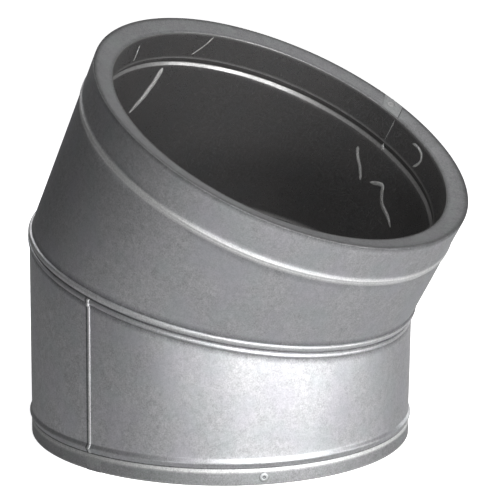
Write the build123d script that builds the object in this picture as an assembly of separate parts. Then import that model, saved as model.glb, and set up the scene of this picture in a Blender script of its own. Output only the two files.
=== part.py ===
from build123d import *
import os
from math import cos, degrees, radians, sin, tan

# Double-wall flue elbow, 30 degrees, two gores, 16 in flue inside an 18 in casing.
# Row frame: Z is the axis of the lower leg, the base plane is Z = 0 and the upper leg leans to +X.

# Overall proportions
BEND = 30.0
MITRE = BEND / 2
LEG = 200.8
CASING_R = 228.6
SHEET = 0.8
LINER_SHEET = 0.6

# Bead rolled through the casing collar and the outer leg of the upper end ring
TOP_BEAD_DEPTH = 45.0
TOP_BEAD_WIDTH = 10.0
TOP_BEAD_RISE = 2.0

# Bead rolled through the foot of the casing and the tucked part of the spigot band
FOOT_Z = 19.6
FOOT_BEAD_Z = 25.2
FOOT_BEAD_WIDTH = 11.0
FOOT_BEAD_RISE = 2.8

# Spigot band below the casing, joggled in to slip up inside it
BAND_R = 229.0
BAND_STRAIGHT = 15.0
BAND_JOGGLE = 18.6
BAND_TOP = 36.0
BAND_LAP_AZIMUTH = -79.9
BAND_LAP_ANGLE = 5.0

# End rings: a shallow funnel face with an outer leg and a short inner lip
RING_DROP = 5.6
RING_LIP_DEPTH = 16.0
RING_OUTER_LEG = 54.0
RING_BEND = 1.6
LAP_OUTER_AZIMUTH = 93.5
LAP_INNER_AZIMUTH = 89.5
LAP_LENGTH = 30.0
LAP_STEP = 0.5
LOWER_OUTER_LEG = 14.0
LOWER_INNER_LEG = 36.0

# Stainless sleeve lining the mouth of the flue down to the stop bead
SLEEVE_R = 204.1
SLEEVE_TOP_DEPTH = 6.0
SLEEVE_DEPTH = 42.3
SLEEVE_SLIT = 0.5

# Liner tube, its stop bead and the reduced spigot at the lower end
LINER_R = SLEEVE_R + LINER_SHEET
LINER_TOP_DEPTH = 17.0
STOP_BEAD_DEPTH = 48.4
STOP_BEAD_WIDTH = 10.0
STOP_BEAD_RISE = 2.0
SPIGOT_R = 203.6
SPIGOT_CONE_LOW = 40.0
SPIGOT_CONE_HIGH = 47.0
SPIGOT_END_Z = 0.0

# Gore lock, measured square to the mitre plane
LOWER_RIDGE_LOW = -6.0
LOWER_RIDGE_HIGH = -1.2
UPPER_RIDGE_LOW = 1.7
UPPER_RIDGE_HIGH = 8.5
RIDGE_RISE = 2.6
RIDGE_ROUND = 1.1
LINER_LOCK_RISE = 4.0

# Fibre blanket
BLANKET_TOP_DEPTH = 9.0

# Longitudinal lock seams of the two gores
LOWER_SEAM_AZIMUTH = -84.0
UPPER_SEAM_AZIMUTH = 97.5
SEAM_WIDTH = 3.6
SEAM_RISE = 0.9

# Blind rivets
RIVET_HEAD_R = 5.2
RIVET_HEAD_RISE = 0.9
RIVET_SHANK_R = 2.4
RIVET_TAIL_R = 3.6
RIVET_TAIL = 2.2
RIVET_FIT = 0.05
RIVET_SEAT = 0.1
RIVET_ROOM = 10.0
BAND_RIVET_AZIMUTH = -33.0
BAND_RIVET_COUNT = 3
BAND_RIVET_Z = 8.6
RING_RIVET_R = 217.0
RING_RIVET_AZIMUTH = 96.0
SLEEVE_RIVET_AZIMUTH = 92.0
SLEEVE_RIVET_DEPTH = 35.0
SLEEVE_RIVET_RISE = 0.4

# Working sizes for cutting blocks
BLOCK = 1200.0
REACH = LEG + CASING_R * tan(radians(MITRE)) + 20.0

UPPER = Location((0, 0, LEG), (0, BEND, 0))
MITRE_PLANE = Location((0, 0, LEG), (0, MITRE, 0))


def half_space_below(offset):
    """Block holding everything below a plane parallel to the mitre plane."""
    return MITRE_PLANE * Pos(0, 0, offset - BLOCK / 2) * Box(BLOCK, BLOCK, BLOCK)


def half_space_above(offset):
    """Block holding everything above a plane parallel to the mitre plane."""
    return MITRE_PLANE * Pos(0, 0, offset + BLOCK / 2) * Box(BLOCK, BLOCK, BLOCK)


def slab(low, high):
    """Slice of space between two planes parallel to the mitre plane."""
    return MITRE_PLANE * Pos(0, 0, (low + high) / 2) * Box(BLOCK, BLOCK, high - low)


def outline(points_out, points_in):
    """Close the outer and inner lines of a sheet section into one face in the XZ plane."""
    edges = []
    for line in (points_out, points_in):
        for start, middle, end in line:
            if middle is None:
                edges.append(Line((start[0], 0, start[1]), (end[0], 0, end[1])))
            else:
                edges.append(
                    ThreePointArc((start[0], 0, start[1]), (middle[0], 0, middle[1]), (end[0], 0, end[1]))
                )
    first_out = points_out[0][0]
    last_out = points_out[-1][2]
    first_in = points_in[0][0]
    last_in = points_in[-1][2]
    edges.append(Line((first_out[0], 0, first_out[1]), (first_in[0], 0, first_in[1])))
    edges.append(Line((last_out[0], 0, last_out[1]), (last_in[0], 0, last_in[1])))
    return make_face(edges)


def beaded_line(radius, low, high, beads):
    """Straight sheet line at one radius, bulged outward at each (height, width, rise) bead."""
    pieces = []
    level = low
    for height, width, rise in beads:
        bottom = height - width / 2
        top = height + width / 2
        if bottom > level:
            pieces.append(((radius, level), None, (radius, bottom)))
        pieces.append(((radius, bottom), (radius + rise, height), (radius, top)))
        level = top
    pieces.append(((radius, level), None, (radius, high)))
    return pieces


def beaded_tube(radius, sheet, low, high, beads, angle=360.0):
    """Tube of sheet metal about Z with rolled beads, outer radius given."""
    outer = beaded_line(radius, low, high, beads)
    inner = beaded_line(radius - sheet, low, high, beads)
    return revolve(outline(outer, inner), Axis.Z, angle)


def tube(outer_radius, inner_radius, low, high):
    """Plain tube about Z."""
    height = high - low
    middle = Pos(0, 0, (low + high) / 2)
    return middle * (Cylinder(outer_radius, height) - Cylinder(inner_radius, height))


def polygon_ring(points, angle=360.0):
    """Ring turned from a closed polygon of (radius, height) points."""
    face = make_face(Polyline([(r, 0, z) for r, z in points], close=True))
    return revolve(face, Axis.Z, angle)


def lower_shell(outer_radius, inner_radius, low, high):
    """Part of a tube on the lower leg between two planes parallel to the mitre plane."""
    return tube(outer_radius, inner_radius, -REACH, 2 * REACH) & slab(low, high)


def upper_shell(outer_radius, inner_radius, low, high):
    """Part of a tube on the upper leg between two planes parallel to the mitre plane."""
    return (UPPER * tube(outer_radius, inner_radius, -REACH, REACH)) & slab(low, high)


def rounded(ring, radius):
    """Round the two longest edges of a lock ridge."""
    longest = sorted(ring.edges(), key=lambda edge: edge.length)[-2:]
    return fillet(longest, radius)


def on_casing(azimuth, radius, height):
    """Frame on a cylinder about Z: local Z points outward along the radius."""
    return Rot(0, 0, azimuth) * Pos(radius, 0, height) * Rot(0, 90, 0)


def rivet(grip, rise=RIVET_HEAD_RISE):
    """Blind rivet with its head on the local +Z side and the sheets below Z = 0."""
    head = Pos(0, 0, RIVET_SEAT + rise / 2) * Cylinder(RIVET_HEAD_R, rise)
    head = fillet(head.edges().group_by(Axis.Z)[-1], rise * 0.8)
    shank = Pos(0, 0, -grip / 2) * Cylinder(RIVET_SHANK_R, grip + 2 * RIVET_SEAT)
    tail = Pos(0, 0, -grip - RIVET_SEAT - RIVET_TAIL / 2) * Cylinder(RIVET_TAIL_R, RIVET_TAIL)
    tail = fillet(tail.edges().group_by(Axis.Z)[0], RIVET_TAIL * 0.5)
    return head + shank + tail


def rivet_hole(grip):
    """Hole for one rivet shank, cut through the sheets below Z = 0."""
    return Pos(0, 0, -grip / 2) * Cylinder(RIVET_SHANK_R + RIVET_FIT, grip * 3)


def rivet_room(grip):
    """Space pressed into the blanket behind one rivet tail."""
    return Pos(0, 0, -grip - RIVET_ROOM / 2 + 1) * Cylinder(RIVET_TAIL_R + 1, RIVET_ROOM)


def save(shape, node):
    """Write one node of the assembly."""
    shape.label = node
    export_step(shape, f"parts/{node}.step")
    print(node, len(shape.solids()), round(shape.volume, 1))


def seam_sector(radius, low, high, beads, azimuth):
    """Folded lock seam: a narrow strip lying on the outside of a tube."""
    angle = degrees(SEAM_WIDTH / radius)
    strip = beaded_tube(radius + SEAM_RISE, SEAM_RISE, low, high, beads, angle)
    return Rot(0, 0, azimuth - angle / 2) * strip


# Casing of the lower leg
foot_beads = [(FOOT_BEAD_Z, FOOT_BEAD_WIDTH, FOOT_BEAD_RISE)]
lower_tube = beaded_tube(CASING_R, SHEET, FOOT_Z, REACH, foot_beads)
hem_high = UPPER_RIDGE_HIGH - SHEET
casing_lower = lower_tube & half_space_below(0)
casing_lower += rounded(
    lower_shell(CASING_R + RIDGE_RISE, CASING_R, LOWER_RIDGE_LOW, LOWER_RIDGE_HIGH), RIDGE_ROUND
)
casing_lower += upper_shell(CASING_R, CASING_R - SHEET, 0, hem_high)
casing_lower += upper_shell(
    CASING_R + RIDGE_RISE - SHEET, CASING_R, UPPER_RIDGE_LOW + SHEET, hem_high
)
lower_seam = seam_sector(CASING_R, FOOT_Z, REACH, foot_beads, LOWER_SEAM_AZIMUTH)
casing_lower += lower_seam & half_space_below(LOWER_RIDGE_LOW)
seam_knob = seam_sector(CASING_R + RIDGE_RISE, FOOT_Z, REACH, [], LOWER_SEAM_AZIMUTH)
seam_knob &= slab(LOWER_RIDGE_LOW + RIDGE_ROUND, LOWER_RIDGE_HIGH - RIDGE_ROUND)
casing_lower += seam_knob

# Casing of the upper leg, with the collar and its rolled bead
top_beads = [(LEG - TOP_BEAD_DEPTH, TOP_BEAD_WIDTH, TOP_BEAD_RISE)]
upper_tube = UPPER * beaded_tube(CASING_R, SHEET, -REACH, LEG, top_beads)
casing_upper = upper_tube & half_space_above(hem_high)
ridge_cover = rounded(
    upper_shell(CASING_R + RIDGE_RISE, CASING_R, UPPER_RIDGE_LOW, UPPER_RIDGE_HIGH), RIDGE_ROUND
)
ridge_cover -= upper_shell(
    CASING_R + RIDGE_RISE - SHEET, CASING_R - SHEET, UPPER_RIDGE_LOW + SHEET, hem_high
)
casing_upper += ridge_cover
upper_seam = UPPER * seam_sector(CASING_R, -REACH, LEG, top_beads, UPPER_SEAM_AZIMUTH)
casing_upper += upper_seam & half_space_above(UPPER_RIDGE_HIGH)

# Spigot band: joggled strip with a lapped joint, its upper part tucked inside the casing
tuck_r = CASING_R - SHEET


def band_line(radius_shift):
    """Outer or inner line of the spigot band section."""
    straight = BAND_R + radius_shift
    tucked = tuck_r + radius_shift
    start = ((straight, 0), None, (straight, BAND_STRAIGHT))
    joggle = ((straight, BAND_STRAIGHT), None, (tucked, BAND_JOGGLE))
    return [start, joggle] + beaded_line(tucked, BAND_JOGGLE, BAND_TOP, foot_beads)


spigot_band = revolve(outline(band_line(0), band_line(-SHEET)), Axis.Z)
lap_points = [
    (BAND_R, 0),
    (BAND_R, BAND_STRAIGHT),
    (BAND_R + SHEET, BAND_STRAIGHT),
    (BAND_R + SHEET, 0),
]
band_lap = Rot(0, 0, BAND_LAP_AZIMUTH - BAND_LAP_ANGLE) * polygon_ring(lap_points, BAND_LAP_ANGLE)
spigot_band += band_lap

# Upper end ring: outer leg inside the collar, funnel face, short lip round the mouth sleeve
ring_out_r = CASING_R - SHEET
lip_r = LINER_R
face_in_z = LEG - RING_DROP
leg_beads = [(LEG - TOP_BEAD_DEPTH, TOP_BEAD_WIDTH, TOP_BEAD_RISE)]
outer_leg = beaded_tube(ring_out_r, SHEET, LEG - RING_OUTER_LEG, LEG - RING_BEND, leg_beads)
funnel_points = [
    (ring_out_r, LEG - RING_BEND),
    (ring_out_r - 0.5, LEG - 0.4),
    (ring_out_r - RING_BEND, LEG),
    (lip_r + RING_BEND, face_in_z),
    (lip_r + 0.4, face_in_z - 0.5),
    (lip_r, face_in_z - RING_BEND),
    (lip_r, LEG - RING_LIP_DEPTH),
    (lip_r + SHEET, LEG - RING_LIP_DEPTH),
    (lip_r + SHEET, face_in_z - RING_BEND),
    (lip_r + RING_BEND, face_in_z - SHEET),
    (ring_out_r - RING_BEND, LEG - SHEET),
    (ring_out_r - SHEET, LEG - RING_BEND),
]
ring_body = outer_leg + polygon_ring(funnel_points)

# Joint of the ring strip: lapped on the face
lap_points = [
    (ring_out_r - RING_BEND, LEG),
    (ring_out_r - RING_BEND, LEG + LAP_STEP),
    (lip_r + RING_BEND, face_in_z + LAP_STEP),
    (lip_r + RING_BEND, face_in_z),
]
lap_outer = Vector(
    CASING_R * cos(radians(LAP_OUTER_AZIMUTH)), CASING_R * sin(radians(LAP_OUTER_AZIMUTH)), 0
)
lap_inner = Vector(
    SLEEVE_R * cos(radians(LAP_INNER_AZIMUTH)), SLEEVE_R * sin(radians(LAP_INNER_AZIMUTH)), 0
)
lap_frame = Plane(origin=lap_inner, x_dir=(lap_outer - lap_inner).normalized(), z_dir=(0, 0, 1))
lap_zone = lap_frame * Pos(0, LAP_LENGTH / 2, LEG / 2) * Box(120, LAP_LENGTH, 2 * LEG)
ring_lap = polygon_ring(lap_points) & lap_zone
end_ring_upper = UPPER * (ring_body + ring_lap)

# Mouth sleeve: rolled strip with a plain butt slit
sleeve = tube(LINER_R, SLEEVE_R, LEG - SLEEVE_DEPTH, LEG - SLEEVE_TOP_DEPTH)
slit_block = Box(4 * SHEET, SLEEVE_SLIT, 2 * SLEEVE_DEPTH)
sleeve -= Rot(0, 0, LAP_INNER_AZIMUTH) * Pos(SLEEVE_R, 0, LEG - SLEEVE_DEPTH / 2) * slit_block
mouth_sleeve = UPPER * sleeve

# Lower end ring: closes the insulation space at the base
base_leg_r = BAND_R - SHEET
lower_ring_points = [
    (base_leg_r, LOWER_OUTER_LEG),
    (base_leg_r, RING_BEND),
    (base_leg_r - 0.5, 0.6),
    (base_leg_r - RING_BEND, 0.2),
    (SPIGOT_R + RING_BEND, RING_DROP),
    (SPIGOT_R + 0.4, RING_DROP + 0.5),
    (SPIGOT_R, RING_DROP + RING_BEND),
    (SPIGOT_R, LOWER_INNER_LEG),
    (SPIGOT_R + SHEET, LOWER_INNER_LEG),
    (SPIGOT_R + SHEET, RING_DROP + RING_BEND),
    (SPIGOT_R + RING_BEND, RING_DROP + SHEET),
    (base_leg_r - RING_BEND, 0.2 + SHEET),
    (base_leg_r - SHEET, RING_BEND),
    (base_leg_r - SHEET, LOWER_OUTER_LEG),
]
end_ring_lower = polygon_ring(lower_ring_points)

# Liner of the upper leg with its stop bead
stop_beads = [(LEG - STOP_BEAD_DEPTH, STOP_BEAD_WIDTH, STOP_BEAD_RISE)]
liner_out_r = LINER_R + LINER_SHEET
lock_r = liner_out_r + LINER_LOCK_RISE
upper_liner_tube = beaded_tube(liner_out_r, LINER_SHEET, -REACH, LEG - LINER_TOP_DEPTH, stop_beads)
liner_upper = (UPPER * upper_liner_tube) & half_space_above(0)
liner_upper += upper_shell(lock_r, liner_out_r, 0, LINER_SHEET)

# Liner of the lower leg, folded over the upper flange and swaged down to a spigot at the base
liner_line = [
    (LINER_R, REACH),
    (LINER_R, SPIGOT_CONE_HIGH),
    (SPIGOT_R - LINER_SHEET, SPIGOT_CONE_LOW),
    (SPIGOT_R - LINER_SHEET, SPIGOT_END_Z),
    (SPIGOT_R, SPIGOT_END_Z),
    (SPIGOT_R, SPIGOT_CONE_LOW),
    (liner_out_r, SPIGOT_CONE_HIGH),
    (liner_out_r, REACH),
]
liner_lower = polygon_ring(liner_line) & half_space_below(0)
liner_lower += lower_shell(lock_r + LINER_SHEET, liner_out_r, -LINER_SHEET, 0)
liner_lower += upper_shell(lock_r + LINER_SHEET, lock_r, 0, 2 * LINER_SHEET)
liner_lower += upper_shell(lock_r + LINER_SHEET, liner_out_r + 1.0, LINER_SHEET, 2 * LINER_SHEET)

# Fibre blanket packed between liner and casing
blanket_gap = 0.2
lock_room = slab(-LINER_SHEET - blanket_gap, 2 * LINER_SHEET + blanket_gap)
lock_tube_r = lock_r + LINER_SHEET + blanket_gap
blanket_in_r = liner_out_r
blanket_out_r = CASING_R - SHEET
tucked_in_r = tuck_r - SHEET - blanket_gap
lower_blanket_points = [
    (blanket_in_r, RING_DROP + 2 * SHEET),
    (tucked_in_r, RING_DROP + 2 * SHEET),
    (tucked_in_r, BAND_TOP + blanket_gap),
    (blanket_out_r, BAND_TOP + blanket_gap),
    (blanket_out_r, REACH),
    (blanket_in_r, REACH),
]
insulation_lower = polygon_ring(lower_blanket_points) & half_space_below(0)
insulation_lower -= lower_shell(lock_tube_r, blanket_in_r - 1, -LINER_SHEET - blanket_gap, 0)

bead_low = LEG - STOP_BEAD_DEPTH - STOP_BEAD_WIDTH / 2 - blanket_gap
bead_high = LEG - STOP_BEAD_DEPTH + STOP_BEAD_WIDTH / 2 + blanket_gap
bead_out_r = liner_out_r + STOP_BEAD_RISE + blanket_gap
leg_in_r = ring_out_r - SHEET - blanket_gap
lip_out_r = lip_r + SHEET + blanket_gap
upper_blanket_points = [
    (blanket_in_r, -REACH),
    (blanket_in_r, bead_low),
    (bead_out_r, bead_low),
    (bead_out_r, bead_high),
    (blanket_in_r, bead_high),
    (blanket_in_r, LEG - LINER_TOP_DEPTH - blanket_gap),
    (lip_out_r, LEG - LINER_TOP_DEPTH - blanket_gap),
    (lip_out_r, LEG - BLANKET_TOP_DEPTH),
    (leg_in_r, LEG - BLANKET_TOP_DEPTH),
    (leg_in_r, LEG - RING_OUTER_LEG - blanket_gap),
    (blanket_out_r, LEG - RING_OUTER_LEG - blanket_gap),
    (blanket_out_r, -REACH),
]
insulation_upper = (UPPER * polygon_ring(upper_blanket_points)) & half_space_above(0)
insulation_upper -= upper_shell(lock_tube_r, blanket_in_r - 1, 0, 2 * LINER_SHEET + blanket_gap)

# Rivets of the spigot band: through the band and the outer leg of the lower ring
band_rivets = []
for number in range(BAND_RIVET_COUNT):
    azimuth = BAND_RIVET_AZIMUTH + number * 360.0 / BAND_RIVET_COUNT
    place = on_casing(azimuth, BAND_R, BAND_RIVET_Z)
    band_rivets.append(place * rivet(2 * SHEET))
    hole = place * rivet_hole(2 * SHEET)
    spigot_band -= hole
    end_ring_lower -= hole
    insulation_lower -= place * rivet_room(2 * SHEET)

# Rivets beside the joint: one on the ring face, one through the mouth sleeve and the liner
slope = RING_DROP / (ring_out_r - lip_r - 2 * RING_BEND)
face_z = LEG - (ring_out_r - RING_BEND - RING_RIVET_R) * slope + LAP_STEP
face_tilt = -Vector(1, 0, 0).get_angle(Vector(1, 0, slope))
face_place = UPPER * Rot(0, 0, RING_RIVET_AZIMUTH) * Pos(RING_RIVET_R, 0, face_z) * Rot(0, face_tilt, 0)
sleeve_place = UPPER * on_casing(SLEEVE_RIVET_AZIMUTH, SLEEVE_R, LEG - SLEEVE_RIVET_DEPTH)
sleeve_place = sleeve_place * Rot(180, 0, 0)
face_grip = SHEET + LAP_STEP
sleeve_grip = 2 * LINER_SHEET
ring_rivet = face_place * rivet(face_grip)
sleeve_rivet = sleeve_place * rivet(sleeve_grip, SLEEVE_RIVET_RISE)
end_ring_upper -= face_place * rivet_hole(face_grip)
mouth_sleeve -= sleeve_place * rivet_hole(sleeve_grip)
liner_upper -= sleeve_place * rivet_hole(sleeve_grip)
insulation_upper -= sleeve_place * rivet_room(sleeve_grip)
insulation_upper -= face_place * rivet_room(face_grip)

os.makedirs("parts", exist_ok=True)
save(casing_lower, "casing_lower")
save(casing_upper, "casing_upper")
save(spigot_band, "spigot_band")
save(end_ring_upper, "end_ring_upper")
save(end_ring_lower, "end_ring_lower")
save(liner_lower, "liner_lower")
save(liner_upper, "liner_upper")
save(insulation_lower, "insulation_lower")
save(insulation_upper, "insulation_upper")
save(Compound(children=band_rivets), "spigot_band_rivets")
save(ring_rivet, "end_ring_rivet")
save(mouth_sleeve, "mouth_sleeve")
save(sleeve_rivet, "mouth_sleeve_rivet")
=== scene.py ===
import logging
import math
from dataclasses import dataclass
from enum import Enum
from typing import Callable, NamedTuple, Sequence

import bmesh
import bpy
from mathutils import Matrix, Vector, noise


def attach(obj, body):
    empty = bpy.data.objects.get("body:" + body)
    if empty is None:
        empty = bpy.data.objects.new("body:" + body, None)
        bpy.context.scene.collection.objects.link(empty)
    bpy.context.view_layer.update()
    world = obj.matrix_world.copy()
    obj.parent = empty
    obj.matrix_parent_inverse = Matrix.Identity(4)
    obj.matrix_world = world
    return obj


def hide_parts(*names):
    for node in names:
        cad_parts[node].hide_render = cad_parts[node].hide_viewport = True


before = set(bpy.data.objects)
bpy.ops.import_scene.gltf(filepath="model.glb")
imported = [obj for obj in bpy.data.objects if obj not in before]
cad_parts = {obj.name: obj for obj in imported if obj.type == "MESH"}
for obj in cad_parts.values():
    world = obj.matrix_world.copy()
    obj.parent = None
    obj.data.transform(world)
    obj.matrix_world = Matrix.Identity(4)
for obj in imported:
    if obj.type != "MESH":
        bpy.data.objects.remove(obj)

log = logging.getLogger("flue_elbow")

BMesh = bmesh.types.BMesh
Socket = bpy.types.NodeSocket

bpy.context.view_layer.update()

MM = 0.001
CREST_LAYER = "crest"
CREVICE_LAYER = "crevice"
ROUND_STEPS = 480
# Lift of the thin strips that carry painted shadow beside the lock seam and the ring's lap.
SHADE_FILM = 0.12
SMOOTH_ANGLE = math.radians(38.0)
WHITE = (1.0, 1.0, 1.0, 1.0)
# Light colour mixed in by the crest mask: painted highlight on beads, ridges, ribs and rivets, partly wear.
WEAR_AND_HIGHLIGHT_COLOUR = (0.86, 0.86, 0.85, 1.0)
# Near-black mixed in by the crevice mask: painted shade in creases, bends, joints and recesses.
PAINTED_SHADE_COLOUR = (0.06, 0.06, 0.06, 1.0)


class Slot(Enum):
    """Material slots of the record."""

    CASING = "galvanised_casing"
    TRIM = "galvanised_trim"
    LINER = "stainless_liner"
    BLANKET = "fibre_blanket"
    RIVET = "rivet_steel"


class Leg(Enum):
    """The two straight legs of the elbow."""

    LOWER = "lower"
    UPPER = "upper"


class Point(NamedTuple):
    """One point of a turned section, in millimetres, with its crest mark (wear and painted highlight) and
    crevice mark (painted shade).
    """

    radius: float
    height: float
    crest: float = 0.0
    crevice: float = 0.0


@dataclass(frozen=True)
class ElbowSizes:
    """Shared driving sizes of the elbow, in millimetres and degrees."""

    bend: float = 30.0
    leg: float = 200.8
    casing_r: float = 228.6
    sheet: float = 0.8
    liner_sheet: float = 0.6
    sleeve_r: float = 204.1
    spigot_r: float = 203.6
    band_r: float = 229.0
    slant_low: float = 50.0
    slant_high: float = 62.0

    @property
    def mitre(self) -> float:
        """Half of the bend, in radians."""
        return math.radians(self.bend / 2)

    @property
    def liner_r(self) -> float:
        """Inner radius of the liner tube."""
        return self.sleeve_r + self.liner_sheet


SIZES = ElbowSizes()


@dataclass(frozen=True)
class LegFrame:
    """Places leg-local millimetres in the row frame.

    The lower leg's local heights start at the base. The upper leg's local heights start at the mitre centre.
    """

    leg: Leg

    def matrix(self) -> Matrix:
        """Local millimetres to row metres."""
        scale = Matrix.Diagonal((MM, MM, MM, 1.0))
        if self.leg is Leg.LOWER:
            return scale
        lift = Matrix.Translation((0.0, 0.0, SIZES.leg))
        tilt = Matrix.Rotation(math.radians(SIZES.bend), 4, "Y")
        return scale @ lift @ tilt

    def warp(self, bm: BMesh, reach: float) -> None:
        """Slant the mitre end so that its rings follow the mitre plane.

        Args:
            bm: Turned mesh in leg-local millimetres.
            reach: Distance from the mitre centre where rings start to lie parallel to the mitre plane.
        """
        if self.leg is Leg.LOWER:
            straight, sheared, slope = SIZES.slant_low, SIZES.leg - reach, -math.tan(SIZES.mitre)
        else:
            straight, sheared, slope = SIZES.leg - SIZES.slant_high, reach, math.tan(SIZES.mitre)
        for vert in bm.verts:
            ramp = (vert.co.z - straight) / (sheared - straight)
            ramp = min(1.0, max(0.0, ramp))
            weight = ramp * ramp * (3.0 - 2.0 * ramp)
            vert.co.z += weight * slope * vert.co.x


def arc(
    centre: tuple[float, float],
    radius: float,
    ends: tuple[float, float],
    steps: int,
    crest: float = 0.0,
    crevice: float = 0.0,
) -> list[Point]:
    """Points along a small bend of the sheet.

    Args:
        centre: Radius and height of the bend's centre.
        radius: Bend radius.
        ends: First and last angle in degrees, from +radius towards +height.
        steps: Number of pieces.
        crest: Painted highlight and wear at the middle of the bend.
        crevice: Painted shade all over the bend.
    """
    points = []
    for number in range(steps + 1):
        share = number / steps
        angle = math.radians(ends[0] + (ends[1] - ends[0]) * share)
        away, up = radius * math.cos(angle), radius * math.sin(angle)
        wear_and_highlight = crest * math.sin(math.pi * share)
        points.append(Point(centre[0] + away, centre[1] + up, wear_and_highlight, crevice))
    return points


def bead(
    radius: float, middle: float, width: float, rise: float, power: float, wear_and_highlight: float, lines: float = 0.0
) -> list[Point]:
    """A rolled bead, from its lower edge to its upper edge.

    Args:
        radius: Radius of the plain sheet beside the bead.
        middle: Height of the bead's middle.
        width: Width of the bead along the axis.
        rise: How far the bead stands out.
        power: Below 1 gives a full round bead, above 1 a soft one with hollow flanks.
        wear_and_highlight: Wear and painted highlight along the bead.
        lines: Depth of the three rolling lines along its top.
    """
    steps = 24
    points = []
    for number in range(steps + 1):
        share = number / steps
        swell = math.sin(math.pi * share) ** power if 0 < number < steps else 0.0
        ripple = lines * (math.cos(6 * math.pi * share) - 1.0) / 2.0 * swell
        height = middle - width / 2 + width * share
        points.append(Point(radius + rise * swell + ripple, height, wear_and_highlight * min(1.0, 1.5 * swell)))
    return points


def groove(radius: float, middle: float, width: float, rise: float) -> list[Point]:
    """A stop bead pressed outwards with straight flanks, its lower flank lighter as painted highlight and its
    upper flank darker as painted shade.

    Args:
        radius: Radius of the plain sheet beside the groove.
        middle: Height of the groove's middle.
        width: Width of the groove along the axis.
        rise: How far the groove is pressed out.
    """
    steps = 16
    flank = 0.42
    points = []
    for number in range(steps + 1):
        share = number / steps
        depth = min(1.0, min(share, 1.0 - share) / flank)
        # Lower flank lighter: painted highlight. Upper flank darker: painted shade.
        wear_and_highlight = 0.2 if 0.04 < share < 0.45 else 0.0
        painted_shade = 0.5 if 0.5 < share < 0.7 else 0.0
        points.append(Point(radius + rise * depth, middle - width / 2 + width * share, wear_and_highlight, painted_shade))
    return points


def run(radius: float, low: float, high: float, steps: int) -> list[Point]:
    """Plain straight sheet between two heights, both ends left out."""
    return [Point(radius, low + (high - low) * n / steps) for n in range(1, steps)]


class Turned:
    """A closed sheet section turned about the leg's axis."""

    def __init__(
        self, profile: Sequence[Point], steps: int = ROUND_STEPS, start: float = 0.0, sweep: float = 360.0
    ) -> None:
        """Spin the profile.

        Args:
            profile: Closed section, its last point joins its first.
            steps: Number of segments round the axis.
            start: Azimuth of the first section, in degrees.
            sweep: Angle turned, in degrees.
        """
        self.bm = bmesh.new()
        self.crest = self.bm.verts.layers.float.new(CREST_LAYER)
        self.crevice = self.bm.verts.layers.float.new(CREVICE_LAYER)
        angle = math.radians(start)
        ring = []
        for point in profile:
            x, y = point.radius * math.cos(angle), point.radius * math.sin(angle)
            vert = self.bm.verts.new((x, y, point.height))
            vert[self.crest] = point.crest
            vert[self.crevice] = point.crevice
            ring.append(vert)
        edges = [self.bm.edges.new((ring[n], ring[(n + 1) % len(ring)])) for n in range(len(ring))]
        full = abs(sweep - 360.0) < 1e-6
        geometry: list[bmesh.types.BMVert | bmesh.types.BMEdge | bmesh.types.BMFace] = [*ring, *edges]
        if not full:
            geometry.append(self.bm.faces.new(ring))
        bmesh.ops.spin(
            self.bm,
            geom=geometry,
            cent=(0.0, 0.0, 0.0),
            axis=(0.0, 0.0, 1.0),
            angle=math.radians(sweep),
            steps=steps,
            use_merge=full,
        )
        bmesh.ops.recalc_face_normals(self.bm, faces=self.bm.faces)

    def shape(self, change: Callable[[Vector], Vector]) -> None:
        """Move every vertex through a function of its leg-local position."""
        for vert in self.bm.verts:
            vert.co = change(vert.co.copy())


def add_mesh(target: BMesh, extra: BMesh) -> None:
    """Move one mesh into another and free it."""
    joined = bpy.data.meshes.new("joining")
    extra.to_mesh(joined)
    extra.free()
    target.from_mesh(joined)
    bpy.data.meshes.remove(joined)


def hand_over(bm: BMesh, name: str, node: str, leg: Leg, material: bpy.types.Material) -> None:
    """Turn a leg-local mesh into a finished piece and tie it to the frame: body, CAD node and slot.

    Args:
        bm: Mesh in leg-local millimetres, freed here.
        name: Name of the new object.
        node: CAD node that the piece stands for.
        leg: Leg in whose frame the mesh is.
        material: Finish of the piece.
    """
    bm.transform(LegFrame(leg).matrix())
    bmesh.ops.recalc_face_normals(bm, faces=bm.faces)
    for face in bm.faces:
        face.smooth = True
    mesh = bpy.data.meshes.new(name)
    bm.to_mesh(mesh)
    bm.free()
    mesh.materials.append(material)
    mesh.set_sharp_from_angle(angle=SMOOTH_ANGLE)
    piece = bpy.data.objects.new(name, mesh)
    bpy.context.scene.collection.objects.link(piece)
    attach(piece, "root")
    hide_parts(node)
    log.info("%s: %d faces, stands for %s", name, len(mesh.polygons), node)


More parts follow.
